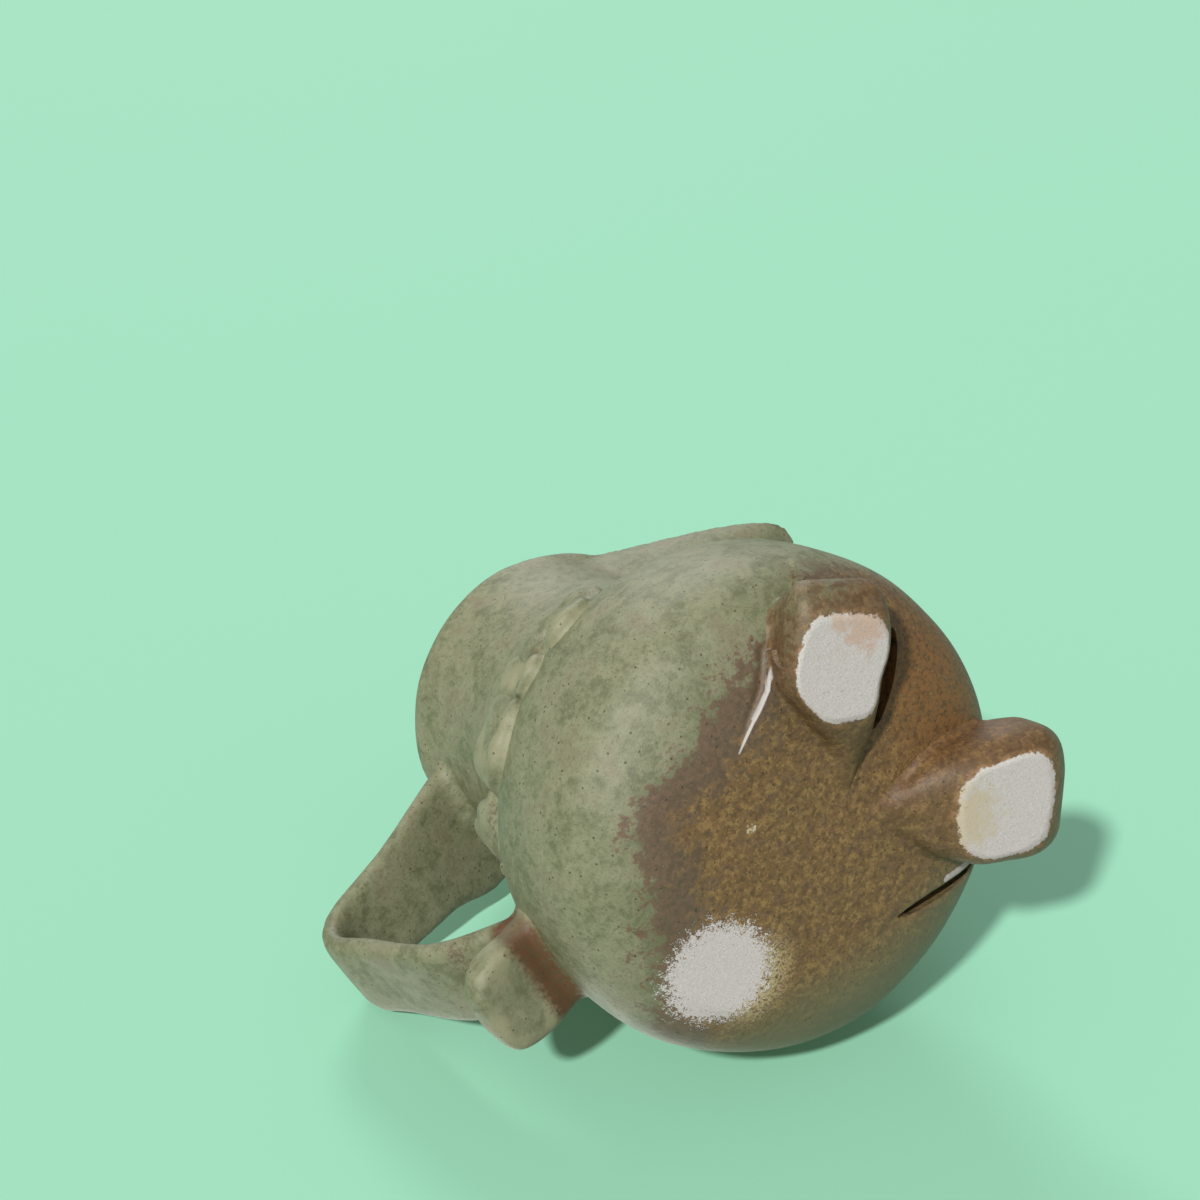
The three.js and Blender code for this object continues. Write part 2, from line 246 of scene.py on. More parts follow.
def eased(value, low, high):
    """0 below low, 1 above high, and smooth between."""
    share = min(max((value - low) / (high - low), 0), 1)
    return share * share * (3 - 2 * share)


def places(piece):
    """The piece's vertices and their normals, as arrays."""
    mesh = piece.data
    at = np.empty(3 * len(mesh.vertices))
    out = np.empty(3 * len(mesh.vertices))
    mesh.vertices.foreach_get("co", at)
    mesh.vertices.foreach_get("normal", out)
    return at.reshape(-1, 3), out.reshape(-1, 3)


def put(piece, at):
    piece.data.vertices.foreach_set("co", at.ravel())
    piece.data.update()


def beside(at, path):
    """How far each point is from a path, on which side, and how far along it, as a share."""
    path = [np.array(p, float) for p in path]
    lengths = [np.linalg.norm(b - a) for a, b in zip(path, path[1:])]
    nearest = np.full(len(at), 1e9)
    side = np.ones(len(at))
    along = np.zeros(len(at))
    gone = 0
    for a, b, length in zip(path, path[1:], lengths):
        share = np.clip(((at - a) @ (b - a)) / length**2, 0, 1)
        away = np.linalg.norm(at - (a + share[:, None] * (b - a)), axis=1)
        turn = (b - a)[0] * (at - a)[:, 1] - (b - a)[1] * (at - a)[:, 0]
        closer = away < nearest
        nearest = np.where(closer, away, nearest)
        side = np.where(closer, -np.sign(turn), side)
        along = np.where(closer, (gone + share * length) / sum(lengths), along)
        gone += length
    return nearest, side, along


def softened(piece, weights, rounds):
    """Smooths a piece with a finger where the weights, one for each vertex, are over 0."""
    group = piece.vertex_groups.new(name="softened")
    for level in range(1, 11):
        chosen = np.nonzero(np.round(weights * 10) == level)[0]
        group.add([int(k) for k in chosen], level / 10, "REPLACE")
    finish_with(piece, "SMOOTH", factor=0.5, iterations=rounds, vertex_group="softened")
    piece.vertex_groups.clear()
    return piece


def close_to(path, limit):
    """A test for the places that lie this near to a path."""
    path = [Vector(p) for p in path]

    def near(place):
        for a, b in zip(path, path[1:]):
            share = min(max((place - a).dot(b - a) / (b - a).length_squared, 0), 1)
            if (place - a.lerp(b, share)).length < limit:
                return True
        return False

    return near


def stroke(piece, path, width, depth):
    """Draws a tool along a path over the clay. A depth over 0 presses in, and one under 0 raises a ridge.
    The stroke fades out at its last point."""
    at, out = places(piece)
    nearest, _, along = beside(at, path)
    fade = np.clip((1 - along) * 4, 0, 1) * np.clip(along * 8 + 0.3, 0, 1)
    push = depth * fade * np.exp(-((nearest / width) ** 2))
    put(piece, at - out * push[:, None])


def lap(piece, path, height, spread, steepness):
    """Raises the clay on the left of a path seen from below, as a layer that ends there in a step."""
    at, out = places(piece)
    nearest, side, along = beside(at, path)
    fade = np.clip((1 - along) * 4, 0, 1)
    climb = np.clip(0.5 + side * nearest / steepness, 0, 1)
    climb *= climb * (3 - 2 * climb)
    push = height * fade * climb * np.exp(-((nearest / spread) ** 2))
    put(piece, at + out * push[:, None])


def waver(piece, size, height, seed):
    """Gives a surface the slow unevenness of a hand-worked one."""
    texture = bpy.data.textures.new("waver", "CLOUDS")
    texture.noise_scale = size
    texture.noise_depth = 1
    carrier = bpy.data.objects.new("waver_place", None)
    bpy.context.scene.collection.objects.link(carrier)
    carrier.location = (seed * 13.7, seed * 5.1, seed * 7.3)
    finish_with(
        piece,
        "DISPLACE",
        texture=texture,
        texture_coords="OBJECT",
        texture_coords_object=carrier,
        strength=height,
        mid_level=0.5,
    )
    bpy.data.objects.remove(carrier)
    bpy.data.textures.remove(texture)
    return piece


def drawn(name, rings):
    """A bar of clay drawn out through these cross sections, each a ring of as many points."""
    count = len(rings[0])
    bpy.ops.object.select_all(action="DESELECT")
    bpy.ops.mesh.primitive_circle_add(vertices=count, radius=1, fill_type="NGON")
    piece = named(name)
    edit(piece)
    bpy.ops.mesh.select_all(action="SELECT")
    for _ in rings[1:]:
        bpy.ops.mesh.extrude_region_move(TRANSFORM_OT_translate={"value": (0, 0, 1)})
    done()
    at, _ = places(piece)
    order = np.argsort(at[:, 2], kind="stable")
    for row, ring in enumerate(rings):
        level = sorted(order[row * count : (row + 1) * count], key=lambda k: math.atan2(at[k][1], at[k][0]))
        for k, point in zip(level, ring):
            at[k] = point
    put(piece, at)
    edit(piece)
    bpy.ops.mesh.select_all(action="SELECT")
    bpy.ops.mesh.normals_make_consistent(inside=False)
    done()
    return piece


def stand(piece):
    """Leans the piece back on the feet, sets it in the part's frame and shades it."""
    piece.matrix_world = STAND
    only(piece)
    bpy.ops.object.transform_apply(location=True, rotation=True, scale=True)
    bpy.ops.object.shade_smooth_by_angle(angle=math.radians(CREASE_ANGLE))
    return piece


# Profiles of the thrown pieces.


def belly_profile(offset, top, steps):
    """The belly's side, moved in by offset, from the middle of its underside up to the height of top."""
    radius = BELLY_RADIUS - offset
    depth = BELLY_DEPTH - offset
    power = 2 / BELLY_POWER
    points = [(0, -depth)]
    for i in range(1, steps + 1):
        angle = i / steps * math.pi / 2
        points.append((radius * math.sin(angle) ** power, -depth * math.cos(angle) ** power))
    dome = DOME_HEIGHT - offset
    for i in range(1, 9):
        height = top * i / 8
        points.append((radius * math.sqrt(1 - (height / dome) ** 2), height))
    return points


RING_SPACING = 3.4
RING_DRIFT = 0.31


def neck_point(along):
    """A place on the neck's side, (reach, height), from its foot at 0 to its rim at 1."""
    a, b, c, d = NECK_FOOT, NECK_LEAD, WAIST, RIM
    weights = ((1 - along) ** 3, 3 * along * (1 - along) ** 2, 3 * along**2 * (1 - along), along**3)
    return tuple(sum(w * p[k] for w, p in zip(weights, (a, b, c, d))) for k in (0, 1))


def neck_profile(offset, steps, ring=0.0):
    """The neck's side, moved in by offset at each place along it, with the rings left by throwing."""
    points = []
    for i in range(steps + 1):
        along = i / steps
        r, z = neck_point(along)
        r1, z1 = neck_point(min(along + 0.01, 1))
        r0, z0 = neck_point(max(along - 0.01, 0))
        length = math.hypot(r1 - r0, z1 - z0)
        wall = offset(along) + ring * math.sin(z * 2 * math.pi / RING_SPACING + math.sin(z * RING_DRIFT))
        points.append((r - (z1 - z0) / length * wall, z + (r1 - r0) / length * wall))
    return points


def spot(azimuth, reach):
    """A place on the belly's underside, by its direction from the spout and its reach."""
    height = -BELLY_DEPTH * (1 - (reach / BELLY_RADIUS) ** BELLY_POWER) ** (1 / BELLY_POWER)
    turn = math.radians(azimuth)
    return (reach * math.cos(turn), reach * math.sin(turn), height)


# Marks left by joining the feet: a lapped edge beside the right foot with a thin one next to it, the gap
# under its other side, and a tool mark under the left foot.

lapped_edge = [
    spot(-59, 43.2),
    spot(-67, 38),
    spot(-73.5, 35),
    spot(-80, 29.4),
    spot(-90, 26.5),
    spot(-103, 24),
]
lapped_shade = [
    spot(-61, 43.5),
    spot(-68.7, 38.4),
    spot(-75.2, 35.4),
    spot(-82, 29.9),
    spot(-92, 26.9),
    spot(-104, 24),
]
thin_edge = [spot(-59.5, 43), spot(-64, 40), spot(-69, 36), spot(-73, 28.5), spot(-69, 23)]
foot_gap = [spot(-28, 37), spot(-27.5, 30), spot(-26.6, 21), spot(-20, 14), spot(-12, 10.3), spot(0, 9)]
tool_mark = [spot(50, 44), spot(55, 41.2), spot(62, 35), spot(67.5, 31.6), spot(76, 28.5), spot(86, 26)]
near_ridge = [spot(28, 30), spot(25.6, 27.5), spot(22.5, 22.5), spot(21, 18.5), spot(22, 15)]
ridge_shade = [spot(22, 32), spot(19, 27), spot(15, 22), spot(12, 17)]

# Each with its width and its depth.
strokes = [
    (lapped_shade, 0.7, 0.35),
    (thin_edge, 0.7, 0.9),
    (foot_gap, 0.4, 0.3),
    (tool_mark, 1.0, 1.2),
    (near_ridge, 1.5, -1.5),
    (ridge_shade, 1.6, 1.2),
]

# Each from start to end, with its width and its depth.
gap_slot = (spot(-29.5, 38.5), spot(-25, 20), 3.8, 11)
crease_slot = (spot(53, 43), spot(82, 26.5), 2.6, 5)


def marked(piece):
    """Draws the marks on a piece."""
    lap(piece, lapped_edge, height=1.0, spread=6, steepness=0.7)
    stroke(piece, lapped_edge, width=0.5, depth=-0.35)
    for path, width, depth in strokes:
        stroke(piece, path, width, depth)
    return piece


# Belly.

EDGE = SHOULDER - 1.2


def uneven(piece):
    """The slow unevenness of the thrown pot, the same all through it."""
    return waver(piece, 26, 1.1, 1)


def on_underside(place):
    """Whether a place lies where the feet and their marks are, which need a finer mesh."""
    ahead = place.x * 0.98 - place.y * 0.2
    return place.z < -8 and ahead > -12 and math.hypot(place.x, place.y) < 46.5


def hollow(depth):
    """A solid of all that lies deeper in the belly than this."""
    return uneven(thrown("hollow", belly_profile(depth, EDGE, 50) + [(0, EDGE)], 144))


def flattened(piece):
    """Grinds flat what lies under the ground."""
    edit(piece)
    pick(piece, lambda co: co.z < 0)
    bpy.ops.transform.resize(value=(1, 1, 0), center_override=(0, 0, 0))
    done()
    return piece


outer = belly_profile(0, EDGE, 90)
inner = belly_profile(BELLY_WALL, EDGE, 24)
lip = [(43.9, SHOULDER - 0.5), (43.4, SHOULDER - 0.1), (42.6, SHOULDER), (40.6, SHOULDER)]
belly = thrown("belly_bowl", outer + lip + inner[::-1], 288)
edit(belly)
pick(belly, on_underside)
bpy.ops.mesh.subdivide(number_cuts=1)
pick(belly, close_to(lapped_edge, 1.8))
bpy.ops.mesh.subdivide(number_cuts=1)
done()
uneven(belly)
marked(belly)

# The slots stay within the wall.
SLOT_DEPTH = 2.8
for slot in (gap_slot, crease_slot):
    cut(belly, cut(notch(*slot), hollow(SLOT_DEPTH)))
stand(belly)
flattened(belly)

# Skins of the pot, sunk a little, that applied pieces are smoothed onto.

SUNK = 0.4
BELLY_SKIN = 3.4
NECK_SKIN = 2.8


def belly_skin():
    deep = belly_profile(BELLY_SKIN, SHOULDER - 1, 20)
    return uneven(thrown("skin", belly_profile(SUNK, SHOULDER - 1, 50) + deep[::-1], 180))


def neck_skin():
    outside = neck_profile(lambda along: SUNK, 40)
    inside = neck_profile(lambda along: NECK_SKIN, 40)
    return uneven(thrown("skin", outside + inside[::-1] + outside[:1], 180))


belly_clay = belly_skin()
neck_clay = neck_skin()


def patch(skin, place, size, turn=(0, 0, 0)):
    """The part of a skin that lies in a round region."""
    return cut(twin(skin), ball(place, size, turn), "INTERSECT")


def applied(name, parts, voxel, fillet, rounds):
    """Clay pressed onto the pot, its edges drawn down onto the skin it lies on."""
    piece = filled(fused(name, parts, voxel, rounds), fillet, voxel)
    return finish_with(piece, "SMOOTH", factor=0.5, iterations=4)


def register(piece, slot, look, *nodes):
    """Hangs a piece on the root body, hides the CAD parts it stands for, and gives it its look."""
    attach(piece, "root")
    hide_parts(*nodes)
    piece.data.materials.clear()
    piece.data.materials.append(look)


# Spout and neck. They are drawn from one lump, cut apart where the beak was joined on.

SPOUT_TURN = math.radians(8)
BEAK_START = 6.4
BEAK_REACH = 66
BEAK_ROOT = 42
BEAK_DIP = 7
BEAK_BROW = 2.2
BEAK_HALF_ANGLE = math.radians(70)
BEAK_TIP = 7.5
BEAK_WALL = 3.4


def beak(inset, open_top, name):
    """A beak drawn out from a section in the neck to the tip of the pouring lip."""
    across = 24
    rows = 20
    rim_half = (RIM[0] - inset) * math.sin(BEAK_HALF_ANGLE)
    tip_half = BEAK_TIP - inset
    rings = []
    for row in range(rows + 1):
        out = row / rows
        lid = RIM[1] + BEAK_BROW * (1 - out) + open_top - BEAK_DIP * out
        half = rim_half + (tip_half - rim_half) * out**0.75
        climb = math.sin(out * math.pi / 2)
        x = BEAK_START + (BEAK_REACH - inset - BEAK_START) * climb
        low = (BEAK_ROOT + inset) + (lid - 1.2 - BEAK_ROOT - inset) * climb**2.1
        ring = []
        for i in range(across + 1):
            angle = i / across * math.pi
            across_at = -half * math.cos(angle)
            height = lid + (low - lid) * math.sin(angle) ** 0.8
            turned = (
                x * math.cos(SPOUT_TURN) - across_at * math.sin(SPOUT_TURN),
                x * math.sin(SPOUT_TURN) + across_at * math.cos(SPOUT_TURN),
                height,
            )
            ring.append(turned)
        rings.append(ring)
    return drawn(name, rings)


def rim_round(steps):
    """The rounded edge of the rim, from its outside over to its inside."""
    (r1, z1), (r0, z0) = neck_point(1), neck_point(0.99)
    length = math.hypot(r1 - r0, z1 - z0)
    across = ((z1 - z0) / length, -(r1 - r0) / length)
    middle = (r1 - across[0] * RIM_WALL / 2, z1 - across[1] * RIM_WALL / 2)
    points = []
    for i in range(1, steps):
        angle = i / steps * math.pi
        side = math.cos(angle) * RIM_WALL / 2
        up = math.sin(angle) * RIM_WALL / 2
        reach = middle[0] + across[0] * side - across[1] * up
        height = middle[1] + across[1] * side + across[0] * up
        points.append((reach, height))
    return points


# The foot of the neck is drawn down over the edge of the belly.
foot_of_neck = [
    (43.6, SHOULDER - 2.9),
    (45.3, SHOULDER - 2.8),
    (45.1, SHOULDER - 1.9),
    (44.4, SHOULDER - 0.6),
    (43.4, SHOULDER + 0.5),
    (42.5, SHOULDER + 1.6),
]
side = [p for p in neck_profile(lambda along: 0, 50, 0.12) if p[1] > SHOULDER + 2.2]
back = neck_profile(lambda along: NECK_WALL + (RIM_WALL - NECK_WALL) * along, 36, -0.15)
floor_of_neck = [(back[0][0], SHOULDER - 2.9)]
outline = foot_of_neck + side + rim_round(8) + back[:0:-1] + floor_of_neck + foot_of_neck[:1]
collar = uneven(thrown("neck_collar", outline, 160))
wall_middle = neck_profile(lambda along: NECK_WALL / 2, 30)
over_rim = [(RIM[0], RIM[1] + 8), (0, RIM[1] + 8)]
core = thrown("neck_core", [(0, SHOULDER)] + wall_middle + over_rim, 160)
cut(collar, cut(beak(0, 0, "beak_skin"), core), "UNION")
cut(collar, beak(BEAK_WALL, 6, "beak_hollow"))
remeshed(collar, 0.75, 3)

# The joint between beak and neck is smoothed with a finger, over a band that follows it.
at, _ = places(collar)
ahead = at[:, 0] * math.cos(SPOUT_TURN) + at[:, 1] * math.sin(SPOUT_TURN)
height = at[:, 2]
weights = np.clip((ahead - 4) / 6, 0, 1) * np.clip((40 - ahead) / 8, 0, 1)
weights *= np.clip((height - 40) / 5, 0, 1) * np.clip((74 - height) / 3, 0, 1)
softened(collar, weights, 40)

# The ends of the rim are smoothed into the edge of the beak.
RIM_END = math.radians(73)
RIM_END_REACH = 9
at, _ = places(collar)
weights = np.zeros(len(at))
for turn in (SPOUT_TURN + RIM_END, SPOUT_TURN - RIM_END):
    end_of_rim = np.array([RIM[0] * math.cos(turn), RIM[0] * math.sin(turn), RIM[1]])
    near_end = (RIM_END_REACH - np.linalg.norm(at - end_of_rim, axis=1)) / 5
    weights = np.maximum(weights, np.clip(near_end, 0, 1))
softened(collar, weights, 14)

# The beak's own share of the clay becomes the spout, and the collar keeps the rest.
territory = beak(-2.5, 8, "territory")
spout = twin(collar)
spout.name = spout.data.name = "spout_beak"
shaped(spout, territory, "INTERSECT")
cut(collar, territory)
stand(collar)
stand(spout)


# Handle strap and tail.

# The strap flares towards the neck, on the jug's left.
FLARE = 0.25
FLARE_HEIGHT = 45
pulled = copied("handle_strap", "strap")
at, _ = places(pulled)
for place in at:
    if place[2] > FLARE_HEIGHT and place[1] > 0:
        place[1] *= 1 + FLARE * eased(place[0], -49, -37)
put(pulled, at)
upper_root = patch(neck_clay, (-32, 2, 66), (20, 40, 20))
lower_root = patch(belly_clay, (-45, 0, 2), (24, 32, 24))
strap = applied("handle_pulled", [pulled, upper_root, lower_root], voxel=0.5, fillet=2.2, rounds=8)
stand(strap)

TAIL_LENGTH = 24.4
TAIL_WIDTH = 21.6
TAIL_THICKNESS = 6.4
TAIL_SQUARENESS = 0.56
tail_place = Matrix.Translation((-53, 0.4, 0.9)) @ Matrix.Rotation(math.radians(-8), 4, "Y")


def tail_ring(height):
    """The tail's outline, a square with well-rounded corners."""
    ring = []
    for i in range(48):
        turn = i / 48 * 2 * math.pi
        along = math.copysign(abs(math.cos(turn)) ** TAIL_SQUARENESS, math.cos(turn)) * TAIL_LENGTH / 2
        aside = math.copysign(abs(math.sin(turn)) ** TAIL_SQUARENESS, math.sin(turn)) * TAIL_WIDTH / 2
        ring.append(tail_place @ Vector((along, aside, height)))
    return ring


slab = drawn("slab", [tail_ring(-TAIL_THICKNESS / 2), tail_ring(TAIL_THICKNESS / 2)])
finish_with(slab, "BEVEL", width=2.2, segments=5, limit_method="ANGLE", angle_limit=math.radians(60))
waver(fused("slab", [slab], 0.6, 3), 7, 1.2, 3)
tail_root = patch(belly_clay, (-46, 0, 2), (22, 26, 20))
tail = applied("handle_end", [slab, tail_root], voxel=0.45, fillet=1.6, rounds=7)
stand(tail)

# Feet. Each is a thick tongue drawn out of the clay of the underside, which it leaves without a step.

RIGHT_FOOT = -55
LEFT_FOOT = 29.5
LIFT = hang - REST_DEPTH
UNDERSIDE = BELLY_DEPTH * math.sin(LEAN)


def foot_place(angle, out, side, height):
    """A place by its distance out from the middle of the underside, its distance to the side and its height
    over the ground, in the pot frame."""
    turn = math.radians(angle)
    x = UNDERSIDE * math.cos(STAND_TURN) + out * math.cos(turn) - side * math.sin(turn)
    y = UNDERSIDE * math.sin(STAND_TURN) + out * math.sin(turn) + side * math.cos(turn)
    return lean.inverted() @ Vector((x, y, height - LIFT))


def tongue(angle, reach, width, root_width, root_shift, shift, sole_start, square, draw, seed):
    """The tongue thins towards its end, and its sides and end draw in on their way up to the belly."""
    thick = 13
    blunt = 13
    ground_off = 0.8
    root_draw = 6
    rings = []
    for row in range(31):
        out = 3 + (reach - 3) * math.sin(row / 30 * math.pi / 2)
        end = min(max((out - reach + blunt) / blunt, 0), 1)
        roundness = (1 - end**2.4) ** (1 / 2.4)
        half = (root_width * eased(out, -2, 13) + (width - root_width) * eased(out, 16, 34)) / 2
        half *= 0.65 + 0.35 * roundness
        ahead = out * math.cos(math.radians(angle) - STAND_TURN)
        underside = LIFT - BELLY_DEPTH * math.cos(LEAN) + ahead * math.sin(LEAN)
        sole = eased(out, 5, sole_start)
        bottom = (underside + 0.6) * (1 - sole) - ground_off * sole + 7 * (1 - roundness)
        top = LIFT - 4 + (thick - LIFT + 4) * eased(out, 18, reach - 4)
        corner = 2 + (square - 2) * eased(out, 12, 26)
        drawn_in = root_draw + (draw - root_draw) * eased(out, 34, reach - 4)
        ring = []
        for i in range(25):
            t = i / 24 * math.pi
            rise = 1 - math.sin(t) ** (2 / corner)
            across = -math.copysign(abs(math.cos(t)) ** (2 / corner), math.cos(t))
            across *= half - 0.7 * drawn_in * rise
            height = bottom + (top - bottom) * rise
            inward = drawn_in * rise**1.5 * eased(out, 25, reach)
            aside = shift * eased(out, 10, 30) + root_shift * (1 - eased(out, 12, 30))
            ring.append(foot_place(angle, out - inward, across + aside, height))
        rings.append(ring)
    return waver(drawn("tongue", rings), 9, 0.9, seed)


FOOT_SKIN = 3.0
right_tongue = tongue(
    angle=RIGHT_FOOT,
    reach=46,
    width=23,
    root_width=16,
    root_shift=4.5,
    shift=-1.6,
    sole_start=27,
    square=5,
    draw=4,
    seed=4,
)
right_root = patch(belly_clay, (17, -24, -20), (60, 50, 40), (0, 0, -56))
right_foot = applied("foot_tongue_right", [right_tongue, right_root], voxel=0.45, fillet=1.3, rounds=6)
cut(right_foot, hollow(FOOT_SKIN))
cut(right_foot, notch(*gap_slot))
remeshed(right_foot, 0.32, 3)
marked(right_foot)
stand(right_foot)
flattened(right_foot)

left_tongue = tongue(
    angle=LEFT_FOOT,
    reach=50.5,
    width=29,
    root_width=20,
    root_shift=0,
    shift=1.2,
    sole_start=32,
    square=4,
    draw=2,
    seed=5,
)
left_root = patch(belly_clay, (30, 17, -18), (56, 42, 40), (0, 0, LEFT_FOOT))
left_foot = applied("foot_tongue_left", [left_tongue, left_root], voxel=0.45, fillet=1.2, rounds=6)
cut(left_foot, hollow(FOOT_SKIN))
cut(left_foot, notch(*crease_slot))
marked(left_foot)
stand(left_foot)
flattened(left_foot)

# Frill. A torn edge of clay with finger-pressed pads along it.

band = copied("frill_band", "frill_torn_edge")
remeshed(band, 0.45, 0)
waver(band, 2.2, 2.2, 6)
finish_with(band, "SMOOTH", factor=0.5, iterations=3)
stand(band)

# The pads, each with its length, its drop under the shoulder and its angle from the handle.
PADS = {"handle": (10, -3, 32), "long": (18, 2.5, 49), "leaf": (11, 3, 65), "end": (12, 4.5, 81)}

# The lobes that stand up behind each pad: angle, span, rise and thickness.
PETALS = {
    "handle": [(28, 10, 10, 6), (24, 9, 13, 6)],
    "long": [(42, 11, 12.5, 5), (48, 12, 13.5, 5), (55, 12, 12, 5)],
    "leaf": [(65, 12, 11, 5.2)],
    "end": [(73, 9, 9.5, 5.5), (80, 10, 8.5, 5.5), (88, 9, 7.5, 5)],
}

# The finger's path over each pad: angle, reach and height.
DENTS = {
    "handle": [(24, 48, 14), (30, 47, 12)],
    "long": [(43, 47.5, 12), (55, 47.5, 11)],
    "leaf": [(63, 47, 17), (67, 47, 8)],
    "end": [(78, 47, 16), (84, 47, 10)],
}
PETAL_REACH = 43.4
PETAL_TILT = -4
pads = {}


def around(angle, hand, reach, height):
    """A place by its angle from the handle, on the right for hand 1 and on the left for hand -1."""
    turn = math.pi + hand * math.radians(angle)
    return (reach * math.cos(turn), reach * math.sin(turn), height)


for side_name, hand in (("right", 1), ("left", -1)):
    for name, (length, drop, angle) in PADS.items():
        node = f"frill_pad_{name}_{side_name}"
        reach = BELLY_RADIUS * math.sqrt(1 - ((SHOULDER - drop) / DOME_HEIGHT) ** 2)
        place = around(angle, hand, reach, SHOULDER - drop - 1)
        lump = copied(node, "pad")
        pad_root = patch(belly_clay, place, (12, length + 6, 16), (0, 0, 180 + hand * angle))
        petals = []
        for lobe, span, rise, thick in PETALS[name]:
            foot = around(lobe, hand, PETAL_REACH, SHOULDER + 0.5)
            petals.append(ball(foot, (thick, span, 2 * rise), (0, PETAL_TILT, 180 + hand * lobe)))
        ruffle = waver(fused("ruffle", [lump, *petals], 0.6, 7), 8, 2.0, 7 + length * hand)
        pad = applied(f"pad_{name}_{side_name}", [ruffle, pad_root], voxel=0.42, fillet=0.5, rounds=4)
        stroke(pad, [around(a, hand, r, h) for a, r, h in DENTS[name]], 2.4, 1.3)
        stand(pad)
        pads[node] = pad

bpy.data.objects.remove(belly_clay)
bpy.data.objects.remove(neck_clay)


# Looks.


class Tree:
    """A material's nodes, built from the shader backwards."""

    def __init__(self, name):
        self.material = bpy.data.materials.new(name)
        self.material.use_nodes = True
        self.nodes = self.material.node_tree.nodes
        self.links = self.material.node_tree.links
        self.shader = self.nodes["Principled BSDF"]

    def feed(self, socket, value):
        if isinstance(value, bpy.types.NodeSocket):
            self.links.new(value, socket)
        elif isinstance(value, tuple) and len(value) == 3 and socket.type == "RGBA":
            socket.default_value = (*value, 1)
        else:
            socket.default_value = value

    def add(self, kind, inputs, **settings):
        node = self.nodes.new(kind)
        for key, value in settings.items():
            setattr(node, key, value)
        for key, value in inputs.items():
            self.feed(node.inputs[key], value)
        return node

    def math(self, how, a, b=0.0):
        return self.add("ShaderNodeMath", {0: a, 1: b}, operation=how).outputs[0]

    def step(self, value, low, high):
        """0 below low, 1 above high, and smooth between."""
        return self.ranged(value, low, high, 0.0, 1.0)

    def fall(self, value, low, high):
        """1 below low, 0 above high, and smooth between."""
        return self.ranged(value, low, high, 1.0, 0.0)

    def ranged(self, value, low, high, first, last):
        inputs = {"Value": value, "From Min": low, "From Max": high, "To Min": first, "To Max": last}
        return self.add("ShaderNodeMapRange", inputs, interpolation_type="SMOOTHSTEP").outputs["Result"]

    def vector(self, how, first, second):
        """A step of vector maths, of which outputs[0] is a vector and outputs[1] a number."""
        return self.add("ShaderNodeVectorMath", {0: first, 1: second}, operation=how).outputs

    def mix(self, share, a, b):
        """The first colour where the share is 0, the second where it is 1."""
        node = self.add("ShaderNodeMix", {}, data_type="RGBA")
        self.feed(node.inputs["Factor"], share)
        self.feed(node.inputs[6], a)
        self.feed(node.inputs[7], b)
        return node.outputs[2]

    def noise(self, where, scale, detail=3.0, rough=0.55):
        inputs = {"Vector": where, "Scale": scale, "Detail": detail, "Roughness": rough}
        return self.add("ShaderNodeTexNoise", inputs).outputs["Fac"]

    def beside(self, where, start, end):
        """Distance from the line between two points."""
        start, end = Vector(start), Vector(end)
        line = end - start
        offset = self.vector("SUBTRACT", where, tuple(start))[0]
        along = self.vector("DOT_PRODUCT", offset, tuple(line))[1]
        share = self.math("DIVIDE", along, line.length_squared)
        share.node.use_clamp = True
        step_along = {0: tuple(line), "Scale": share}
        nearest = self.add("ShaderNodeVectorMath", step_along, operation="SCALE").outputs[0]
        return self.vector("DISTANCE", offset, nearest)[1]

    def away(self, where, point):
        """Distance from a point."""
        return self.vector("DISTANCE", where, point)[1]

    def along(self, where, direction):
        """How far a place lies in a direction."""
        return self.vector("DOT_PRODUCT", where, direction)[1]


def colour(red, green, blue):
    """A linear colour from its screen values from 0 to 255."""
    shares = [value / 255 for value in (red, green, blue)]
    return tuple(share / 12.92 if share < 0.0404 else ((share + 0.055) / 1.055) ** 2.4 for share in shares)


CELADON = colour(126, 129, 97)
CELADON_DEEP = colour(107, 110, 79)
CELADON_PALE = colour(148, 151, 119)
MOSS = colour(84, 78, 50)
SPECK = colour(58, 46, 32)
RUST = colour(114, 86, 52)
RUST_DARK = colour(86, 62, 36)
ORANGE = colour(132, 88, 42)
OCHRE = colour(154, 126, 74)
PLUM = colour(106, 78, 60)
PLUM_DARK = colour(88, 66, 50)
BARE = colour(206, 203, 196)
BARE_DARK = colour(180, 176, 166)
CREAM = colour(194, 182, 150)
STRAW = colour(168, 156, 104)
PEACH = colour(190, 146, 104)
SLIP = colour(148, 146, 114)
POOL = colour(98, 58, 28)
SHADE = colour(24, 20, 14)


REST_MIDDLE = (-30.0, 8.8, 0.0)
REST_DRIP = (-23.5, 18.0, 0.0)
HOT_MIDDLE = (34.0, -5.0, -24.0)
CRUMB = spot(-136, 15.3)
right_sole_end = tuple(foot_place(RIGHT_FOOT, 40, 1, 0))
left_sole_start = tuple(foot_place(LEFT_FOOT, 26, 1, 0))


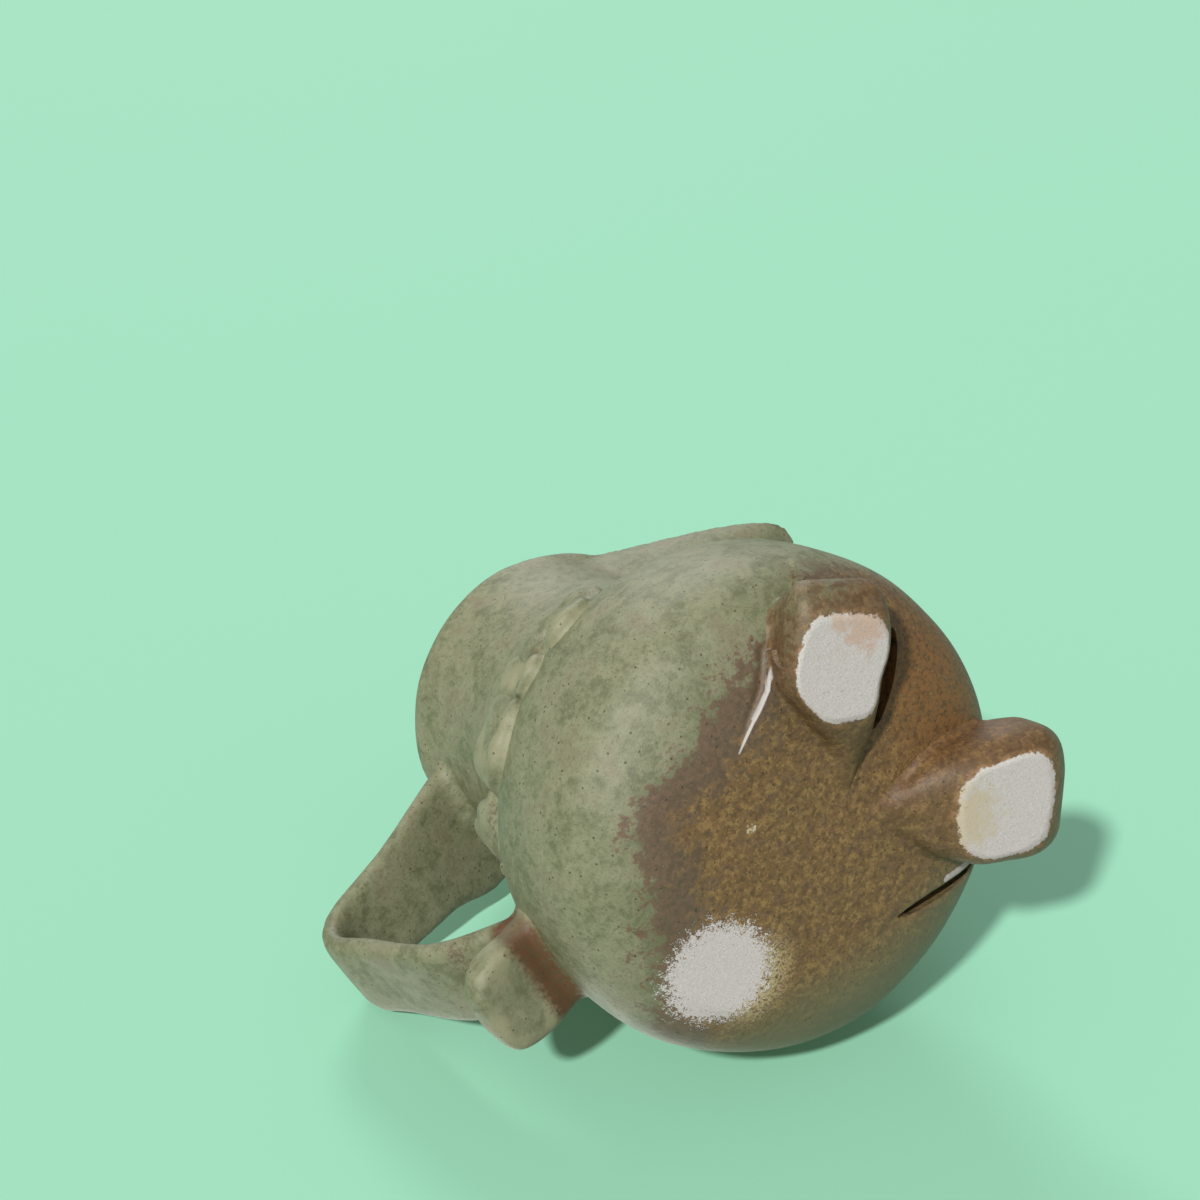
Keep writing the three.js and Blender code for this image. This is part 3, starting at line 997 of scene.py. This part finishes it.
def stoneware(name, paleness=0.0, rustiness=0.0):
    """The glaze and the bare clay of the jug. Its zones lie by their places in the pot frame, so they run on
    from one piece to the next."""
    tree = Tree(name)
    mix, noise, step, fall = tree.mix, tree.noise, tree.step, tree.fall
    here = tree.add("ShaderNodeTexCoord", {}).outputs["Object"]
    turn = STAND.to_3x3().normalized().to_euler()
    mapping = tree.add(
        "ShaderNodeMapping",
        {"Vector": here, "Location": tuple(SHIFT * MM), "Rotation": tuple(turn), "Scale": (MM, MM, MM)},
        vector_type="TEXTURE",
    )
    pot = mapping.outputs[0]
    parts = tree.add("ShaderNodeSeparateXYZ", {"Vector": pot}).outputs
    x, y, z = parts[0], parts[1], parts[2]
    ground = tree.add("ShaderNodeSeparateXYZ", {"Vector": here}).outputs[2]

    def centred(value, spread):
        return tree.math("MULTIPLY", tree.math("SUBTRACT", value, 0.5), spread)

    def product(*values):
        result = values[0]
        for value in values[1:]:
            result = tree.math("MULTIPLY", result, value)
        return result

    def total(*values):
        result = values[0]
        for value in values[1:]:
            result = tree.math("ADD", result, value)
        return result

    level = tree.vector("MULTIPLY", pot, (1.0, 1.0, 0.0))[0]
    broad = noise(pot, 0.045, 3)
    cloudy = noise(pot, 0.12, 4)
    patchy = noise(pot, 0.35, 4, 0.6)
    coarse = noise(pot, 0.55, 6, 0.75)
    mottle = noise(pot, 0.9, 5, 0.7)
    spotty = noise(pot, 1.7, 4, 0.7)
    grain = noise(pot, 3.2, 4, 0.7)

    # Celadon with clouds of a deeper and a paler tone, and iron specks.
    base = mix(step(patchy, 0.36, 0.58), CELADON_DEEP, CELADON)
    base = mix(product(step(cloudy, 0.46, 0.6), 0.6), base, CELADON_PALE)
    base = mix(product(step(mottle, 0.5, 0.62), 0.3), base, CELADON_PALE)
    base = mix(product(fall(mottle, 0.36, 0.47), 0.3), base, MOSS)
    base = mix(product(fall(spotty, 0.36, 0.45), 0.4), base, MOSS)
    base = mix(product(step(cloudy, 0.5, 0.7), 0.3), base, PLUM)

    # Rust, on the half of the underside that faces the left foot, and plum brown where it begins.
    wander = centred(mottle, 18.0)
    drift = centred(broad, 12.0)
    blotch = centred(patchy, 20.0)
    across = total(tree.along(pot, (0.2, 0.98, 0.0)), 33.5)
    behind = total(tree.along(pot, (0.92, 0.395, 0.0)), 37.0)
    inside = tree.math("SMOOTH_MIN", across, behind)
    inside.node.inputs[2].default_value = 4.0
    edge = total(inside, wander, blotch, drift)
    under = fall(total(z, product(wander, 0.6)), -21.0, -12.0)
    rusty = product(step(edge, 7.0, 15.0), under)
    plum = product(step(edge, -1.0, 3.0), under, 0.85)
    plum_tone = mix(step(mottle, 0.4, 0.6), PLUM_DARK, PLUM)
    rust_tone = mix(product(step(coarse, 0.46, 0.62), 0.7), RUST, OCHRE)
    rust_tone = mix(product(step(spotty, 0.54, 0.64), 0.7), rust_tone, OCHRE)
    hot = fall(tree.away(pot, HOT_MIDDLE), 6.0, 21.0)
    rust_tone = mix(product(hot, step(coarse, 0.38, 0.56), 0.8), rust_tone, ORANGE)
    rust_tone = mix(product(fall(mottle, 0.4, 0.5), 0.75), rust_tone, RUST_DARK)
    cool = tree.math("SUBTRACT", 1.0, hot)
    rust_tone = mix(product(fall(patchy, 0.4, 0.48), cool, 0.5), rust_tone, plum_tone)
    base = mix(plum, base, plum_tone)
    base = mix(rusty, base, rust_tone)
    far = product(step(total(y, product(x, -0.15), drift, product(wander, 0.4)), 21.0, 37.0), 0.75)
    base = mix(far, base, CELADON_DEEP)
    if rustiness:
        base = mix(product(step(cloudy, 0.3, 0.6), rustiness), base, rust_tone)
        base = mix(product(step(patchy, 0.42, 0.56), 0.6), base, RUST_DARK)
        from_axis = total(tree.away(level, (0.0, 0.0, 0.0)), product(wander, 0.3))
        base = mix(product(step(from_axis, 45.0, 50.0), 0.6), base, CELADON_DEEP)
    if paleness:
        base = mix(product(step(cloudy, 0.35, 0.6), paleness), base, SLIP)

    # Brown glaze pooled where the strap and tail meet the belly.
    inward = tree.math("ABSOLUTE", total(x, 50.5, product(wander, 0.3)))
    sideways = tree.math("ABSOLUTE", y)
    aloft = tree.math("ABSOLUTE", tree.math("SUBTRACT", z, 2.0))
    pool = product(fall(inward, 1.8, 4.8), fall(sideways, 9.0, 12.0), fall(aloft, 4.5, 7.0))
    base = mix(product(pool, 0.95), base, mix(step(mottle, 0.45, 0.55), POOL, RUST_DARK))

    # Brown speckle in the corner between shoulder and neck, round the back, with painted shade darkening
    # that crevice.
    corner = tree.math("ABSOLUTE", total(z, -12.5, product(wander, 0.2)))
    corner = product(fall(corner, 0.8, 3.4), fall(x, -2.0, 8.0), step(mottle, 0.42, 0.58))
    base = mix(product(corner, 0.6), base, RUST_DARK)

    # Specks.
    cells = tree.add("ShaderNodeTexVoronoi", {"Vector": pot, "Scale": 0.62, "Randomness": 1.0})
    specks = product(fall(cells.outputs["Distance"], 0.1, 0.19), step(patchy, 0.44, 0.56))
    base = mix(product(specks, 0.75), base, SPECK)
    fine = fall(grain, 0.3, 0.38)
    base = mix(product(fine, 0.4), base, SPECK)

    # Bare clay, ground on the back rest and left unglazed on the soles.
    ragged = total(tree.away(level, REST_MIDDLE), centred(mottle, 12.0), centred(grain, 12.0))
    low = fall(z, -18.0, -14.0)
    rest = product(fall(ragged, 9.0, 10.2), low)
    drawn_to = fall(tree.away(level, REST_DRIP), 5.0, 13.0)
    rest_halo = product(fall(ragged, 11.0, 16.0), low, drawn_to)
    lift = total(product(ground, 1000.0), centred(mottle, 1.2))
    on_feet = step(x, 2.0, 6.0)
    sole = product(fall(lift, 0.25, 0.45), on_feet)
    sole_halo = product(fall(lift, 0.45, 1.1), on_feet)
    right_tip = fall(total(tree.away(pot, right_sole_end), blotch), 2.0, 7.0)
    left_root = fall(total(tree.away(pot, left_sole_start), blotch), 4.0, 10.0)
    clay = mix(product(step(grain, 0.4, 0.6), 0.6), BARE, BARE_DARK)
    clay = mix(product(fall(spotty, 0.34, 0.42), on_feet, 0.5), clay, CREAM)
    clay = mix(product(left_root, 0.8), clay, CREAM)
    clay = mix(product(right_tip, 0.5), clay, PEACH)
    clay = mix(product(fall(spotty, 0.3, 0.36), on_feet, 0.5), clay, RUST)
    strip = fall(total(tree.beside(pot, spot(60, 33), spot(54, 38)), product(wander, 0.06)), 0.6, 0.9)
    ash = mix(step(mottle, 0.4, 0.6), STRAW, CREAM)
    base = mix(product(rest_halo, step(spotty, 0.4, 0.54), 0.85), base, ash)
    base = mix(product(sole_halo, step(patchy, 0.48, 0.58), 0.4), base, PEACH)
    bare = tree.math("MAXIMUM", tree.math("MAXIMUM", rest, sole), strip)
    base = mix(bare, base, clay)

    # How near a place is to the belly's outer face: 1 there, less further in.
    from_axis = tree.math("DIVIDE", tree.away(level, (0.0, 0.0, 0.0)), float(BELLY_RADIUS))
    from_middle = tree.math("DIVIDE", tree.math("ABSOLUTE", z), float(BELLY_DEPTH))
    outward = total(tree.math("POWER", from_axis, BELLY_POWER), tree.math("POWER", from_middle, BELLY_POWER))
    outside = product(step(outward, 0.66, 0.69), low)

    # Painted shade: the slots beside the feet are painted dark inside, where their shadow falls.
    for start, end, width, _ in (gap_slot, crease_slot):
        first = Vector(start).lerp(Vector(end), 0.14)
        last = Vector(start).lerp(Vector(end), 0.86)
        from_slot = tree.beside(level, (first.x, first.y, 0), (last.x, last.y, 0))
        slot_shade = fall(from_slot, width * 0.26, width * 0.44)
        base = mix(product(slot_shade, outside), base, SHADE)
    # Painted shade along the thin gap under the right foot.
    for start, end in zip(foot_gap[2:4], foot_gap[3:5]):
        base = mix(product(fall(tree.beside(pot, start, end), 0.25, 0.5), 0.8), base, SHADE)

    # Glaze run white along the lapped edge, with a painted highlight where the edge catches the light,
    # narrower towards its end.
    white_run_and_highlight = 0.0
    for (x0, y0, _), (x1, y1, _), width in zip(lapped_edge[2:], lapped_edge[3:], (0.42, 0.38, 0.25)):
        run = fall(tree.beside(level, (x0, y0, 0), (x1, y1, 0)), width * 0.4, width)
        white_run_and_highlight = tree.math("MAXIMUM", white_run_and_highlight, run)
    base = mix(product(white_run_and_highlight, outside, fall(outward, 1.14, 1.22), 0.75), base, BARE)
    crumb = fall(total(tree.away(pot, CRUMB), product(wander, 0.3)), 0.4, 0.9)
    base = mix(crumb, base, CREAM)
    tree.feed(tree.shader.inputs["Base Color"], base)

    # The bare clay is duller. Pits, specks and the rings of throwing catch the light.
    dullness = total(product(mottle, 0.3), 0.36, product(bare, 0.3))
    tree.feed(tree.shader.inputs["Roughness"], dullness)
    along_rings = tree.vector("MULTIPLY", pot, (0.1, 0.1, 1.5))[0]
    rings = noise(along_rings, 1.0, 2)
    pits = total(product(mottle, 0.5), product(grain, 0.35), product(specks, 0.2), product(rings, 0.5))
    bump = tree.add("ShaderNodeBump", {"Height": pits, "Strength": 0.5, "Distance": 0.0004})
    tree.feed(tree.shader.inputs["Normal"], bump.outputs[0])
    return tree.material


celadon = stoneware("celadon_glaze")
rust = stoneware("rust_glaze", rustiness=0.75)
slip = stoneware("pale_slip", paleness=0.8)

register(belly, "celadon_glaze", celadon, "belly")
register(collar, "celadon_glaze", celadon, "neck")
register(spout, "celadon_glaze", celadon, "spout")
register(strap, "celadon_glaze", celadon, "handle_strap")
register(tail, "pale_slip", slip, "handle_tail")
register(right_foot, "rust_glaze", rust, "foot_right")
register(left_foot, "rust_glaze", rust, "foot_left")
register(band, "pale_slip", slip, "frill_band")
for node, pad in pads.items():
    register(pad, "pale_slip", slip, node)

# Stage. The jug lies on a sheet of pale green paper, and the floor shows only from above.

PAPER_UP = Vector((0.436, -0.896, -0.09)).normalized()
PAPER = colour(152, 214, 182)
PAPER_GAP = 0.0002
FLOOR_GAP = 0.0001


def one_sided(name, tone):
    """Plain paper that is seen only from its front."""
    tree = Tree(name)
    tree.shader.inputs["Base Color"].default_value = (*tone, 1)
    tree.shader.inputs["Roughness"].default_value = 0.9
    behind = tree.add("ShaderNodeNewGeometry", {}).outputs["Backfacing"]
    clear = tree.add("ShaderNodeBsdfTransparent", {}).outputs[0]
    both = tree.add("ShaderNodeMixShader", {0: behind, 1: tree.shader.outputs[0], 2: clear}).outputs[0]
    tree.feed(tree.nodes["Material Output"].inputs[0], both)
    return tree.material


def sheet(name, point, up):
    """A large flat sheet that casts no shadow."""
    bpy.ops.object.select_all(action="DESELECT")
    bpy.ops.mesh.primitive_plane_add(size=6, location=point, rotation=up.to_track_quat("Z", "Y").to_euler())
    piece = named(name)
    piece.data.materials.append(one_sided(name, PAPER))
    piece.visible_shadow = False
    return piece


jug = (belly, collar, spout, strap, tail, left_foot, right_foot, band, *pads.values())
lowest = min(float((places(piece)[0] @ np.array(PAPER_UP)).min()) for piece in jug)
paper = sheet("paper", PAPER_UP * (lowest - PAPER_GAP), PAPER_UP)
paper.visible_diffuse = False
table = sheet("floor", Vector((0, 0, -FLOOR_GAP)), Vector((0, 0, 1)))
table.visible_diffuse = False
table.visible_glossy = False


def sun(name, direction, strength, size):
    """Light from far away, as wide as size in degrees."""
    data = bpy.data.lights.new(name, "SUN")
    data.energy = strength
    data.angle = math.radians(size)
    lamp = bpy.data.objects.new(name, data)
    bpy.context.scene.collection.objects.link(lamp)
    lamp.rotation_euler = direction.to_track_quat("-Z", "Y").to_euler()


look = camera.rotation_euler.to_matrix()
right, up, ahead = look.col[0], look.col[1], -look.col[2]
sun("window", (ahead + 0.36 * right - 0.3 * up).normalized(), 3.1, 4)
sun("sky", Vector((-0.5, 0.6, -1)).normalized(), 1.0, 20)
sun("fill", Vector((0.6, -0.8, -0.5)).normalized(), 1.0, 30)

world = bpy.data.worlds.new("world")
bpy.context.scene.world = world
world.use_nodes = True
backdrop = world.node_tree.nodes["Background"]
backdrop.inputs["Color"].default_value = (1, 1, 1, 1)
backdrop.inputs["Strength"].default_value = 0.32
bpy.context.scene.view_settings.view_transform = "Standard"
